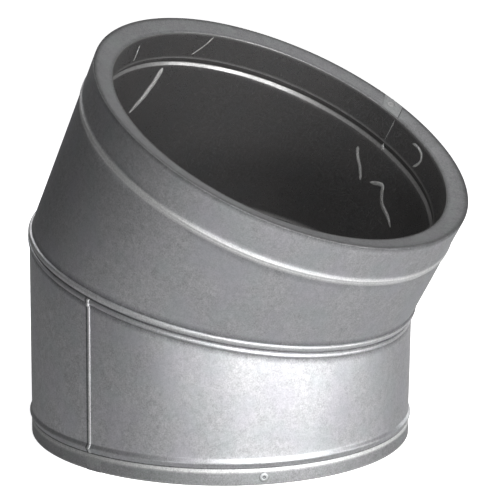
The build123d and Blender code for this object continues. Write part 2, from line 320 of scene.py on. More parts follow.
class Graph:
    """Small helper to lay out a shader node tree."""

    def __init__(self, tree: bpy.types.NodeTree) -> None:
        """Start on an empty tree."""
        self.tree = tree
        self.tree.nodes.clear()
        self.column = 0

    def feed(self, target: bpy.types.Node, inputs: dict[str | int, object]) -> None:
        """Feed inputs of a node, each from a socket or a constant."""
        for label, source in inputs.items():
            if isinstance(source, Socket):
                self.tree.links.new(source, target.inputs[label])
            else:
                target.inputs[label].default_value = source

    def node(
        self, kind: str, inputs: dict[str | int, object] | None = None, **settings: object
    ) -> bpy.types.Node:
        """Add a node, set its properties and feed its inputs."""
        made = self.tree.nodes.new(kind)
        made.location = (self.column * 180, -(self.column % 5) * 160)
        self.column += 1
        for key, value in settings.items():
            setattr(made, key, value)
        self.feed(made, inputs or {})
        return made

    def math(self, operation: str, first: object, second: object, clamp: bool = False) -> Socket:
        """One arithmetic step."""
        inputs = {0: first, 1: second}
        return self.node("ShaderNodeMath", inputs, operation=operation, use_clamp=clamp).outputs[0]

    def spread(self, value: object, low: float, high: float, out_low: float, out_high: float) -> Socket:
        """Map a value from one range to another, held at both ends."""
        inputs = {"Value": value, "From Min": low, "From Max": high, "To Min": out_low, "To Max": out_high}
        return self.node("ShaderNodeMapRange", inputs, clamp=True).outputs["Result"]

    def mix(self, share: object, first: object, second: object) -> Socket:
        """Mix two colours."""
        inputs = {"Factor": share, "A": first, "B": second}
        return self.node("ShaderNodeMix", inputs, data_type="RGBA").outputs["Result"]

    def noise(self, vector: Socket, scale: float, detail: float, rough: float, twist: float = 0.0) -> Socket:
        """Fractal noise value."""
        inputs = {"Vector": vector, "Scale": scale, "Detail": detail, "Roughness": rough, "Distortion": twist}
        return self.node("ShaderNodeTexNoise", inputs).outputs["Fac"]

    def cells(self, vector: Socket, scale: float) -> Socket:
        """Random grey of each crystal cell."""
        made = self.node("ShaderNodeTexVoronoi", {"Vector": vector, "Scale": scale}, feature="F1")
        return self.node("ShaderNodeRGBToBW", {0: made.outputs["Color"]}).outputs[0]

    def stretch(self, vector: Socket, scale: Sequence[float]) -> Socket:
        """Scale a coordinate along each axis."""
        return self.node("ShaderNodeMapping", {"Vector": vector, "Scale": scale}).outputs["Vector"]

    def attribute(self, name: str) -> Socket:
        """A vertex value."""
        return self.node("ShaderNodeAttribute", attribute_name=name).outputs["Fac"]

    def bump(self, shader: bpy.types.Node, height: Socket, strength: float, distance: float) -> None:
        """Tilt a shader's normals by a height."""
        inputs = {"Strength": strength, "Distance": distance, "Height": height}
        self.feed(shader, {"Normal": self.node("ShaderNodeBump", inputs).outputs["Normal"]})


def new_material(name: str) -> tuple[bpy.types.Material, Graph, bpy.types.Node]:
    """Make a material with one Principled shader.

    Returns:
        The material, its graph and its shader node.
    """
    material = bpy.data.materials.new(name)
    material.use_nodes = True
    graph = Graph(material.node_tree)
    shader = graph.node("ShaderNodeBsdfPrincipled")
    graph.node("ShaderNodeOutputMaterial", {"Surface": shader.outputs[0]})
    return material, graph, shader


class SharedGroups:
    """Shader node groups shared by all metals, each built once. Scales are features per metre."""

    cloud_scale = 22.0
    blotch_scale = 120.0
    spangle_scale = 260.0
    grain_scale = 620.0
    cool_scale = 30.0
    warm_scale = 24.0
    rolling_scale = 420.0
    turning_scale = 620.0
    scratch_scale = 16.0
    warm_shift = (3.0, 5.0, 7.0)
    scratch_slant = (0.4, 0.9, 0.2)

    def __init__(self) -> None:
        """Build every group."""
        self.axis_coordinates = self._axis_coordinates()
        self.mottle = self._mottle()
        self.scratches = self._scratches()

    @staticmethod
    def _new(
        name: str, inputs: Sequence[str], outputs: Sequence[str]
    ) -> tuple[bpy.types.NodeTree, Graph, bpy.types.Node, bpy.types.Node]:
        """Make an empty group. Sockets called Vector carry vectors, the others numbers.

        Args:
            name: Group name.
            inputs: Names of the input sockets.
            outputs: Names of the output sockets.

        Returns:
            The group, its graph, its input node and its output node.
        """
        group = bpy.data.node_groups.new(name, "ShaderNodeTree")
        for direction, labels in (("INPUT", inputs), ("OUTPUT", outputs)):
            for label in labels:
                kind = "NodeSocketVector" if label == "Vector" else "NodeSocketFloat"
                group.interface.new_socket(name=label, in_out=direction, socket_type=kind)
        graph = Graph(group)
        return group, graph, graph.node("NodeGroupInput"), graph.node("NodeGroupOutput")

    def _axis_coordinates(self) -> bpy.types.NodeTree:
        """Object coordinates turned so that local Z runs along the leg."""
        group, graph, entry, leave = self._new("leg_coordinates", ["Tilt"], ["Vector"])
        inputs = {
            "Vector": graph.node("ShaderNodeTexCoord").outputs["Object"],
            "Center": (0.0, 0.0, SIZES.leg * MM),
            "Angle": entry.outputs["Tilt"],
        }
        turn = graph.node("ShaderNodeVectorRotate", inputs, rotation_type="Y_AXIS")
        graph.feed(leave, {"Vector": turn.outputs["Vector"]})
        return group

    def _mottle(self) -> bpy.types.NodeTree:
        """Zinc spangle and cloudy tone of galvanised sheet."""
        labels = ["Tone", "Cool patch", "Warm patch", "Grain"]
        group, graph, entry, leave = self._new("zinc_mottle", ["Vector", "Spangle"], labels)
        vector = entry.outputs["Vector"]
        cloud = graph.noise(vector, self.cloud_scale, 4.0, 0.6, twist=0.4)
        blotch = graph.noise(vector, self.blotch_scale, 3.0, 0.6)
        fine = graph.noise(vector, self.grain_scale, 3.0, 0.65)
        spangle = graph.math("SUBTRACT", graph.cells(vector, self.spangle_scale), 0.5)
        crystal = graph.math("MULTIPLY", spangle, entry.outputs["Spangle"])
        tone = graph.math("MULTIPLY", cloud, 0.1)
        for layer, share in ((blotch, 0.2), (fine, 0.7), (crystal, 0.12)):
            tone = graph.math("ADD", tone, graph.math("MULTIPLY", layer, share))
        cool = graph.noise(vector, self.cool_scale, 2.0, 0.5)
        shifted = graph.node("ShaderNodeVectorMath", {0: vector, 1: self.warm_shift}, operation="ADD")
        warm = graph.noise(shifted.outputs["Vector"], self.warm_scale, 2.0, 0.5)
        graph.feed(leave, dict(zip(labels, (tone, cool, warm, fine))))
        return group

    def _scratches(self) -> bpy.types.NodeTree:
        """Fine handling scratches and rolling lines."""
        labels = ["Lines", "Scratch"]
        group, graph, entry, leave = self._new("handling_scratches", ["Vector", "Around"], labels)
        vector = entry.outputs["Vector"]
        inputs = {
            "Factor": entry.outputs["Around"],
            "A": graph.noise(graph.stretch(vector, (1.0, 1.0, 0.03)), self.rolling_scale, 4.0, 0.6),
            "B": graph.noise(graph.stretch(vector, (0.02, 0.02, 1.0)), self.turning_scale, 4.0, 0.6),
        }
        lines = graph.node("ShaderNodeMix", inputs, data_type="FLOAT").outputs["Result"]
        inputs = {"Vector": vector, "Rotation": self.scratch_slant}
        bent = graph.node("ShaderNodeVectorRotate", inputs, rotation_type="EULER_XYZ")
        drawn = graph.stretch(bent.outputs["Vector"], (14.0, 0.7, 9.0))
        streak = graph.noise(drawn, self.scratch_scale, 2.0, 0.5)
        scratch = graph.spread(streak, 0.66, 0.72, 0.0, 1.0)
        graph.feed(leave, dict(zip(labels, (lines, scratch))))
        return group


@dataclass(frozen=True)
class SheetFinish:
    """Look of one kind of sheet metal."""

    name: str
    dark: tuple[float, float, float]
    light: tuple[float, float, float]
    cool: tuple[float, float, float]
    warm: tuple[float, float, float]
    rough_low: float
    rough_high: float
    metallic: float
    spangle: float = 1.0
    around: float = 0.0
    tilt: float = 0.0
    bump: float = 0.15
    bump_distance: float = 0.0003
    wear_and_highlight: float = 0.6
    worn_rough: float = 0.12
    worn_dull: float = 0.1
    patchy: float = 0.35

    def build(self, groups: SharedGroups) -> bpy.types.Material:
        """Make the material from the shared groups."""
        material, graph, shader = new_material(self.name)
        inputs = {"Tilt": math.radians(self.tilt)}
        place = graph.node("ShaderNodeGroup", inputs, node_tree=groups.axis_coordinates).outputs["Vector"]
        inputs = {"Vector": place, "Spangle": self.spangle}
        mottle = graph.node("ShaderNodeGroup", inputs, node_tree=groups.mottle).outputs
        inputs = {"Vector": place, "Around": self.around}
        scratch = graph.node("ShaderNodeGroup", inputs, node_tree=groups.scratches).outputs

        tone = graph.spread(mottle["Tone"], 0.33, 0.67, 0.0, 1.0)
        colour = graph.mix(tone, (*self.dark, 1.0), (*self.light, 1.0))
        for label, tint in (("Cool patch", self.cool), ("Warm patch", self.warm)):
            patch = graph.spread(mottle[label], 0.48, 0.66, 0.0, self.patchy)
            colour = graph.mix(patch, colour, (*tint, 1.0))
        # Crest mask: mixes in the light colour, partly wear and partly painted highlight.
        wear_and_highlight_mask = graph.spread(mottle["Grain"], 0.3, 0.6, 0.5, 1.0)
        wear_and_highlight_mask = graph.math("MULTIPLY", graph.attribute(CREST_LAYER), wear_and_highlight_mask)
        wear_and_highlight_mask = graph.math("MULTIPLY", wear_and_highlight_mask, self.wear_and_highlight, clamp=True)
        colour = graph.mix(wear_and_highlight_mask, colour, WEAR_AND_HIGHLIGHT_COLOUR)
        # Crevice mask: mixes in near-black as painted shade.
        shade_mask = graph.spread(mottle["Tone"], 0.2, 0.8, 0.9, 0.55)
        shade_mask = graph.math("MULTIPLY", graph.attribute(CREVICE_LAYER), shade_mask)
        colour = graph.mix(shade_mask, colour, PAINTED_SHADE_COLOUR)

        rough = graph.spread(mottle["Tone"], 0.33, 0.67, self.rough_high, self.rough_low)
        rough = graph.math("ADD", rough, graph.math("MULTIPLY", wear_and_highlight_mask, self.worn_rough))
        rough = graph.math("ADD", rough, graph.math("MULTIPLY", scratch["Scratch"], 0.08))
        rough = graph.math("ADD", rough, graph.math("MULTIPLY", shade_mask, 0.3), clamp=True)
        metallic = graph.math("SUBTRACT", self.metallic, graph.math("MULTIPLY", wear_and_highlight_mask, self.worn_dull))
        graph.feed(shader, {"Base Color": colour, "Roughness": rough, "Metallic": metallic})

        height = graph.math("ADD", graph.math("MULTIPLY", mottle["Tone"], 0.5), scratch["Lines"])
        height = graph.math("SUBTRACT", height, graph.math("MULTIPLY", scratch["Scratch"], 0.4))
        graph.bump(shader, height, self.bump, self.bump_distance)
        return material


@dataclass(frozen=True)
class FibreFinish:
    """Look of the white fibre blanket."""

    name: str = "fibre_blanket"
    bump: float = 0.6
    bump_distance: float = 0.001

    def build(self) -> bpy.types.Material:
        """Make the fibrous material."""
        material, graph, shader = new_material(self.name)
        coordinates = graph.node("ShaderNodeTexCoord").outputs["Object"]
        fibre = graph.noise(graph.stretch(coordinates, (1.0, 1.0, 4.0)), 160.0, 6.0, 0.7, twist=1.5)
        colour = graph.mix(fibre, (0.7, 0.67, 0.6, 1.0), (0.93, 0.92, 0.88, 1.0))
        graph.feed(shader, {"Base Color": colour, "Roughness": graph.spread(fibre, 0.2, 0.8, 0.85, 1.0)})
        graph.bump(shader, fibre, self.bump, self.bump_distance)
        return material


class Finishes:
    """All materials of the elbow, one per slot and leg."""

    def __init__(self) -> None:
        """Build every material once."""
        groups = SharedGroups()
        zinc = {
            "dark": (0.33, 0.33, 0.342),
            "light": (0.6, 0.6, 0.615),
            "cool": (0.42, 0.46, 0.47),
            "warm": (0.48, 0.465, 0.52),
            "rough_low": 0.38,
            "rough_high": 0.48,
            "metallic": 0.9,
        }
        self.casing = self.per_leg("galvanised_casing", zinc, zinc, groups)
        matte = dict(zinc, rough_low=0.45, rough_high=0.6, around=1.0)
        # The foot band is coloured darker than the casing: painted shade for the dimmer light it gets near
        # the floor.
        band = dict(matte, dark=(0.22, 0.22, 0.226), light=(0.39, 0.39, 0.398))
        band.update(cool=(0.3, 0.33, 0.32), warm=(0.33, 0.325, 0.34))
        ring = dict(matte, dark=(0.23, 0.23, 0.236), light=(0.38, 0.38, 0.388))
        ring.update(cool=(0.35, 0.38, 0.37), warm=(0.37, 0.365, 0.38))
        self.trim = self.per_leg("galvanised_trim", band, ring, groups)
        steel = {
            "dark": (0.14, 0.137, 0.137),
            "light": (0.25, 0.245, 0.245),
            "cool": (0.18, 0.185, 0.19),
            "warm": (0.21, 0.2, 0.198),
            "rough_low": 0.24,
            "rough_high": 0.36,
            "metallic": 0.8,
            "spangle": 0.15,
            "around": 1.0,
            "bump": 0.04,
            "wear_and_highlight": 1.0,
            "worn_rough": 0.16,
            "worn_dull": 0.6,
        }
        self.liner = self.per_leg("stainless_liner", steel, steel, groups)
        rivet = dict(zinc, dark=(0.3, 0.3, 0.305), light=(0.46, 0.46, 0.465))
        rivet.update(rough_low=0.36, rough_high=0.5, spangle=0.2)
        self.rivet = SheetFinish("zinc_rivet", **rivet).build(groups)
        self.blanket = FibreFinish().build()

    @staticmethod
    def per_leg(name: str, lower: dict, upper: dict, groups: SharedGroups) -> dict[Leg, bpy.types.Material]:
        """Build one finish for both legs, its grain lined up with each leg.

        Args:
            name: Start of the material names.
            lower: Finish settings of the lower leg.
            upper: Finish settings of the upper leg.
            groups: Shared shader groups.
        """
        return {
            Leg.LOWER: SheetFinish(f"{name}_lower", **lower).build(groups),
            Leg.UPPER: SheetFinish(f"{name}_upper", **upper, tilt=-SIZES.bend).build(groups),
        }


@dataclass(frozen=True)
class Wave:
    """Soft dents of a sheet: their largest push and size in millimetres, and the seed of the pattern."""

    amount: float
    length: float
    seed: float

    def push(self, position: Vector) -> Vector:
        """Push a leg-local point in or out."""
        radius = math.hypot(position.x, position.y)
        if radius < 1.0:
            return position
        x, y, z = position
        sample = Vector((x / self.length + self.seed, y / self.length, z / (self.length * 1.6)))
        scale = 1 + self.amount * noise.noise(sample) / radius
        return Vector((x * scale, y * scale, z))


@dataclass
class Casing:
    """The two galvanised gores of the casing, joined by a gore lock."""

    finishes: Finishes
    foot: float = 19.6
    foot_bead_z: float = 25.2
    foot_bead_width: float = 11.0
    foot_bead_rise: float = 2.5
    top_bead_depth: float = 45.0
    top_bead_width: float = 10.0
    top_bead_rise: float = 1.2
    rolling_lines: float = 0.25
    lower_ridge_rise: float = 1.7
    upper_ridge_rise: float = 2.6
    lower_ridge: tuple[float, float] = (-6.0, -1.2)
    upper_ridge: tuple[float, float] = (1.7, 8.5)
    lower_seam_azimuth: float = -84.0
    upper_seam_azimuth: float = 97.5
    seam_width: float = 3.6
    seam_rise: float = 0.9
    seam_shade: float = 2.6
    lower_wave: Wave = Wave(0.35, 70.0, 3.1)
    upper_wave: Wave = Wave(0.35, 70.0, 7.7)
    slant_reach: float = 14.0

    def along(self, distance: float, leg: Leg) -> float:
        """Local height on a leg of a distance square to the mitre plane."""
        start = SIZES.leg if leg is Leg.LOWER else 0.0
        return start + distance / math.cos(SIZES.mitre)

    def lower_outline(self) -> list[Point]:
        """Outer line of the lower gore, foot to mitre."""
        r = SIZES.casing_r
        low, high = (self.along(edge, Leg.LOWER) for edge in self.lower_ridge)
        width, rise = self.foot_bead_width, self.foot_bead_rise
        points = bead(r, self.foot_bead_z, width, rise, power=2.1, wear_and_highlight=0.0)
        # Crevice mark at the casing's foot edge: painted shade under the edge.
        points[0] = Point(r, self.foot, 0.0, 0.9)
        points += run(r, points[-1].height, low, 22)
        points += self.ridge(low, high, self.lower_ridge_rise, 0.1)
        # Crevice mark at the mitre: painted shade in the joint.
        points.append(Point(r, self.along(0.2, Leg.LOWER), 0.0, 1.0))
        return points

    def ridge(self, low: float, high: float, rise: float, wear_and_highlight: float) -> list[Point]:
        """Rounded fold of the gore lock.

        Args:
            low: Height of its lower edge.
            high: Height of its upper edge.
            rise: How far it stands out.
            wear_and_highlight: Wear and painted highlight along its top.
        """
        r = SIZES.casing_r
        # Crevice marks at both edges of the fold: painted shade beside it.
        points = [Point(r, low - 0.5, 0.0, 0.9)]
        steps = 10
        for number in range(steps + 1):
            angle = math.pi * (1.0 - number / steps)
            share = (math.cos(angle) + 1.0) / 2.0
            swell = math.sin(angle) ** 0.6 if 0 < number < steps else 0.0
            points.append(Point(r + rise * swell, low + (high - low) * share, wear_and_highlight * swell**2))
        points.append(Point(r, high + 0.4, 0.0, 0.9))
        return points

    def upper_outline(self) -> list[Point]:
        """Outer line of the upper gore, mitre to rim."""
        r = SIZES.casing_r
        low, high = (self.along(edge, Leg.UPPER) for edge in self.upper_ridge)
        middle = SIZES.leg - self.top_bead_depth
        width, rise = self.top_bead_width, self.top_bead_rise
        # The collar bead's light band is painted highlight, partly wear.
        collar = bead(r, middle, width, rise, power=0.8, wear_and_highlight=1.0, lines=self.rolling_lines)
        rim = SIZES.leg - SIZES.sheet
        # Crevice mark at the mitre: painted shade in the joint.
        points = [Point(r, self.along(0.3, Leg.UPPER), 0.0, 1.0)]
        # The upper fold's lighter top is painted highlight, partly wear.
        points += self.ridge(low, high, self.upper_ridge_rise, 0.7)
        points += run(r, points[-1].height, collar[0].height, 20)
        points += collar
        points += run(r, collar[-1].height, rim, 8)
        # The rim bend is darkened as painted shade.
        points += arc((r - SIZES.sheet, rim), SIZES.sheet, (0.0, 90.0), 4, crevice=1.0)
        return points

    def closed(self, outline: list[Point]) -> list[Point]:
        """Close an outer line with a plain inner wall."""
        inner = SIZES.casing_r - SIZES.sheet
        low, high = outline[0].height, outline[-1].height
        return outline + [Point(inner, high), *run(inner, high, low, 12), Point(inner, low)]

    @staticmethod
    def overlay(outline: list[Point], rise: float, wear_and_highlight: float, painted_shade: float, under: float) -> list[Point]:
        """Closed section of a strip lying on the gore.

        Args:
            outline: Outer line of the gore under the strip.
            rise: How far the strip stands out.
            wear_and_highlight: Wear and painted highlight on its outer side.
            painted_shade: Painted shade on its outer side.
            under: Painted shade on its inner side.
        """
        section = [Point(p.radius + rise, p.height, wear_and_highlight, painted_shade) for p in outline]
        return section + [Point(p.radius - 0.2, p.height, 0.0, under) for p in reversed(outline)]

    def seam(self, outline: list[Point], azimuth: float) -> Turned:
        """Folded lock seam lying on the gore from end to end."""
        width = math.degrees(self.seam_width / SIZES.casing_r)
        # The seam's top is lightened as painted highlight, partly wear; its underside is darkened as painted
        # shade.
        section = self.overlay(outline, self.seam_rise, wear_and_highlight=0.7, painted_shade=0.0, under=0.8)
        strip = Turned(section, 8, azimuth - width / 2, width)
        half = math.radians(width) / 2
        middle = math.radians(azimuth)

        def rounded(position: Vector) -> Vector:
            """Drop the seam's edges to the sheet."""
            angle = math.atan2(position.y, position.x)
            offset = math.remainder(angle - middle, math.tau) / half
            drop = self.seam_rise * 0.75 * offset**4
            radius = math.hypot(position.x, position.y)
            shrink = (radius - drop) / radius
            return Vector((position.x * shrink, position.y * shrink, position.z))

        strip.shape(rounded)
        return strip

    def seam_shadow(self, outline: list[Point], azimuth: float) -> Turned:
        """Thin dark strip along the open edge of the lock seam: a painted shadow."""
        reach = math.degrees(self.seam_shade / SIZES.casing_r)
        side = azimuth - math.degrees(self.seam_width / SIZES.casing_r) / 2
        section = self.overlay(outline, SHADE_FILM, wear_and_highlight=0.0, painted_shade=1.0, under=1.0)
        return Turned(section, 3, side - reach, reach + 0.1)

    def knob(self, azimuth: float, height: float) -> BMesh:
        """Small lump where the lock seam is crushed over a bead."""
        lump = bmesh.new()
        bmesh.ops.create_uvsphere(lump, u_segments=16, v_segments=10, radius=1.0)
        crest = lump.verts.layers.float.new(CREST_LAYER)
        lump.verts.layers.float.new(CREVICE_LAYER)
        for vert in lump.verts:
            # Lightened all over: painted highlight, partly wear.
            vert[crest] = 0.8
        turn = Matrix.Rotation(math.radians(azimuth), 4, "Z")
        place = Matrix.Translation((SIZES.casing_r + self.foot_bead_rise * 0.6, 0.0, height))
        lump.transform(turn @ place @ Matrix.Diagonal((1.6, self.seam_width * 0.62, 2.6, 1.0)))
        return lump

    def finish(self, leg: Leg, outline: list[Point], seam_part: list[Point], azimuth: float) -> None:
        """Build one gore with its lock seam and hand it over.

        Args:
            leg: Leg the gore belongs to.
            outline: Outer line of the gore.
            seam_part: Part of the outline that the lock seam covers.
            azimuth: Azimuth of the lock seam in degrees.
        """
        shell = Turned(self.closed(outline))
        shell.shape((self.lower_wave if leg is Leg.LOWER else self.upper_wave).push)
        add_mesh(shell.bm, self.seam(seam_part, azimuth).bm)
        add_mesh(shell.bm, self.seam_shadow(seam_part, azimuth).bm)
        if leg is Leg.LOWER:
            add_mesh(shell.bm, self.knob(azimuth, self.foot_bead_z))
            add_mesh(shell.bm, self.knob(azimuth, self.along(self.lower_ridge[0], leg) - 1.0))
        LegFrame(leg).warp(shell.bm, self.slant_reach)
        node = f"casing_{leg.value}"
        hand_over(shell.bm, f"{node}_sheet", node, leg, self.finishes.casing[leg])

    def build(self) -> None:
        """Build both gores."""
        lower = self.lower_outline()
        self.finish(Leg.LOWER, lower, lower[:-1], self.lower_seam_azimuth)
        upper = self.upper_outline()
        self.finish(Leg.UPPER, upper, upper[1:-2], self.upper_seam_azimuth)


@dataclass
class SpigotBand:
    """The joggled foot band below the casing, with its lap joint."""

    finishes: Finishes
    straight: float = 15.0
    joggle: float = 18.6
    top: float = 36.0
    lap_azimuth: float = -79.9
    lap_angle: float = 5.0
    wave: Wave = Wave(0.2, 60.0, 1.3)

    def section(self) -> list[Point]:
        """Closed section of the band."""
        r = SIZES.band_r
        tucked = SIZES.casing_r - SIZES.sheet
        sheet = SIZES.sheet
        # Crest marks at the bottom edge and on the shoulder: painted highlight, partly wear. Crevice marks in
        # the joggle: painted shade under the casing's edge.
        points = [Point(r - 0.3, 0.0, 0.3), Point(r, 0.4, 0.6)]
        points += run(r, 0.4, self.straight, 6)
        points += [
            Point(r, self.straight - 0.4, 0.5),
            Point(r - 0.12, self.straight + 0.5, 1.0),
            Point(tucked + 0.35, self.joggle - 0.6, 1.0),
            Point(tucked, self.joggle + 0.2, 0.0, 0.9),
            Point(tucked, self.joggle + 3.0, 0.0, 1.0),
            Point(tucked, self.top),
            Point(tucked - sheet, self.top),
            Point(tucked - sheet, self.joggle),
            Point(r - sheet, self.straight),
            Point(r - sheet, 0.0),
        ]
        return points

    def lap(self) -> list[Point]:
        """Section of the overlapping end."""
        r = SIZES.band_r
        sheet = SIZES.sheet
        # Crest marks along the lapped end: painted highlight, partly wear; crevice mark at its inner edge:
        # painted shade.
        return [
            Point(r - 0.1, 0.0),
            Point(r + sheet - 0.2, 0.0, 0.1),
            Point(r + sheet, 0.3, 0.1),
            Point(r + sheet, self.straight * 0.5, 0.1),
            Point(r + sheet, self.straight - 0.6, 0.5),
            Point(r + sheet - 0.4, self.straight, 0.6),
            Point(r - 0.1, self.straight, 0.0, 0.5),
        ]

    def build(self) -> None:
        """Build the band."""
        ring = Turned(self.section())
        ring.shape(self.wave.push)
        lap = Turned(self.lap(), 16, self.lap_azimuth - self.lap_angle, self.lap_angle)
        add_mesh(ring.bm, lap.bm)
        trim = self.finishes.trim[Leg.LOWER]
        hand_over(ring.bm, "spigot_band_strip", "spigot_band", Leg.LOWER, trim)


@dataclass
class EndRings:
    """The formed rings that close the insulation space at both ends."""

    finishes: Finishes
    drop: float = 5.6
    bend: float = 1.6
    lip_depth: float = 16.0
    outer_leg: float = 54.0
    lower_outer_leg: float = 14.0
    lower_inner_leg: float = 36.0
    lift: float = 0.2
    lap_outer: float = 93.5
    lap_inner: float = 89.5
    lap_angle: float = 7.5
    lap_step: float = 0.5
    lap_shade: float = 0.3
    wave: Wave = Wave(0.25, 45.0, 5.2)

    @property
    def slope(self) -> float:
        """Lean of the upper ring's face, in radians."""
        face = SIZES.casing_r - SIZES.sheet - SIZES.liner_r - 2 * self.bend
        return math.atan2(self.drop, face)

    def upper_section(self) -> list[Point]:
        """Closed section of the upper ring."""
        out_r = SIZES.casing_r - SIZES.sheet
        in_r = SIZES.liner_r
        top = SIZES.leg
        sheet = SIZES.sheet
        tilt = math.degrees(self.slope)
        points = [Point(out_r, top - self.outer_leg), Point(out_r, top - 8.0)]
        # Crevice marks on the outer bend, the face beside it and the inner bend: painted shade.
        points += arc((out_r - self.bend, top - self.bend), self.bend, (0.0, 90.0 + tilt), 6, crevice=1.0)
        start = points[-1]
        middle = (in_r + self.bend, top - self.drop - self.bend)
        bend = arc(middle, self.bend, (90.0 + tilt, 180.0), 6, crevice=0.55)
        for number in range(1, 6):
            share = number / 6
            radius = start.radius + (bend[0].radius - start.radius) * share
            height = start.height + (bend[0].height - start.height) * share
            points.append(Point(radius, height, 0.0, max(0.0, 0.45 - share)))
        points += bend
        low = top - self.lip_depth
        points += [
            Point(in_r, low),
            Point(in_r + sheet, low),
            Point(in_r + sheet, top - self.drop - self.bend),
            Point(in_r + self.bend, top - self.drop - sheet),
            Point(out_r - self.bend, top - sheet),
            Point(out_r - sheet, top - self.bend),
            Point(out_r - sheet, top - self.outer_leg),
        ]
        return points

    def face_height(self, radius: float) -> float:
        """Height of the upper ring's face at a radius."""
        out_r = SIZES.casing_r - SIZES.sheet - self.bend
        in_r = SIZES.liner_r + self.bend
        share = (out_r - radius) / (out_r - in_r)
        return SIZES.leg - self.drop * share

    def skew(self, position: Vector) -> Vector:
        """Turn a point of the lap so that its edge runs slantwise over the face."""
        radius = math.hypot(position.x, position.y)
        share = (SIZES.casing_r - radius) / (SIZES.casing_r - SIZES.sleeve_r)
        turn = math.radians(self.lap_inner - self.lap_outer) * share
        return Matrix.Rotation(turn, 3, "Z") @ position

    def build_upper(self) -> None:
        """Build the upper ring with its lapped joint."""
        ring = Turned(self.upper_section())
        ring.shape(self.wave.push)
        out_r = SIZES.casing_r - SIZES.sheet - self.bend
        in_r = SIZES.liner_r + self.bend * 0.6
        radii = [out_r + (in_r - out_r) * number / 6 for number in range(7)]

        def strip(step: float, crest: float, over: float, under: float) -> list[Point]:
            """Section of a thin strip lying on the face."""
            top = [Point(r, self.face_height(r) + step, crest, over) for r in radii]
            return top + [Point(r, self.face_height(r) - 0.1, 0.0, under) for r in reversed(radii)]

        # The lap's top gets a light crest mark as painted highlight; the thin dark strip along its edge is a
        # painted shadow.
        lap = Turned(strip(self.lap_step, 0.2, 0.0, 0.6), 16, self.lap_outer, self.lap_angle)
        shade_start = self.lap_outer - self.lap_shade
        painted_shade = Turned(strip(SHADE_FILM, 0.0, 1.0, 1.0), 2, shade_start, self.lap_shade + 0.05)
        for part in (lap, painted_shade):
            part.shape(self.skew)
            add_mesh(ring.bm, part.bm)
        trim = self.finishes.trim[Leg.UPPER]
        hand_over(ring.bm, "end_ring_upper_strip", "end_ring_upper", Leg.UPPER, trim)

    def build_lower(self) -> None:
        """Build the lower ring."""
        out_r = SIZES.band_r - SIZES.sheet
        in_r = SIZES.spigot_r
        sheet = SIZES.sheet
        points = [Point(out_r, self.lower_outer_leg), Point(out_r, self.bend)]
        # Light crest marks on both bends: painted highlight, partly wear.
        points += arc((out_r - self.bend, self.bend + self.lift), self.bend, (-10.0, -90.0), 5, 0.4)
        points.append(Point(in_r + self.bend, self.drop))
        points += arc((in_r + self.bend, self.drop + self.bend), self.bend, (-100.0, -180.0), 5, 0.6)
        points += [
            Point(in_r, self.lower_inner_leg),
            Point(in_r + sheet, self.lower_inner_leg),
            Point(in_r + sheet, self.drop + self.bend),
            Point(in_r + self.bend, self.drop + sheet),
            Point(out_r - self.bend, self.lift + sheet),
            Point(out_r - sheet, self.bend + 2 * self.lift),
            Point(out_r - sheet, self.lower_outer_leg),
        ]
        ring, trim = Turned(points), self.finishes.trim[Leg.LOWER]
        hand_over(ring.bm, "end_ring_lower_strip", "end_ring_lower", Leg.LOWER, trim)

    def build(self) -> None:
        """Build both rings."""
        self.build_upper()
        self.build_lower()


@dataclass(frozen=True)
class Kink:
    """A crease in thin sheet, as (azimuth in degrees, depth below the rim in millimetres) points."""

    points: tuple[tuple[float, float], ...]
    width: float
    rise: float

    def smooth(self) -> list[tuple[float, float]]:
        """Round the line off and add points."""
        line = list(self.points)
        for _ in range(3):
            cut = [line[0]]
            for (a0, d0), (a1, d1) in zip(line, line[1:]):
                cut.append((a0 * 0.75 + a1 * 0.25, d0 * 0.75 + d1 * 0.25))
                cut.append((a0 * 0.25 + a1 * 0.75, d0 * 0.25 + d1 * 0.75))
            cut.append(line[-1])
            line = cut
        return line


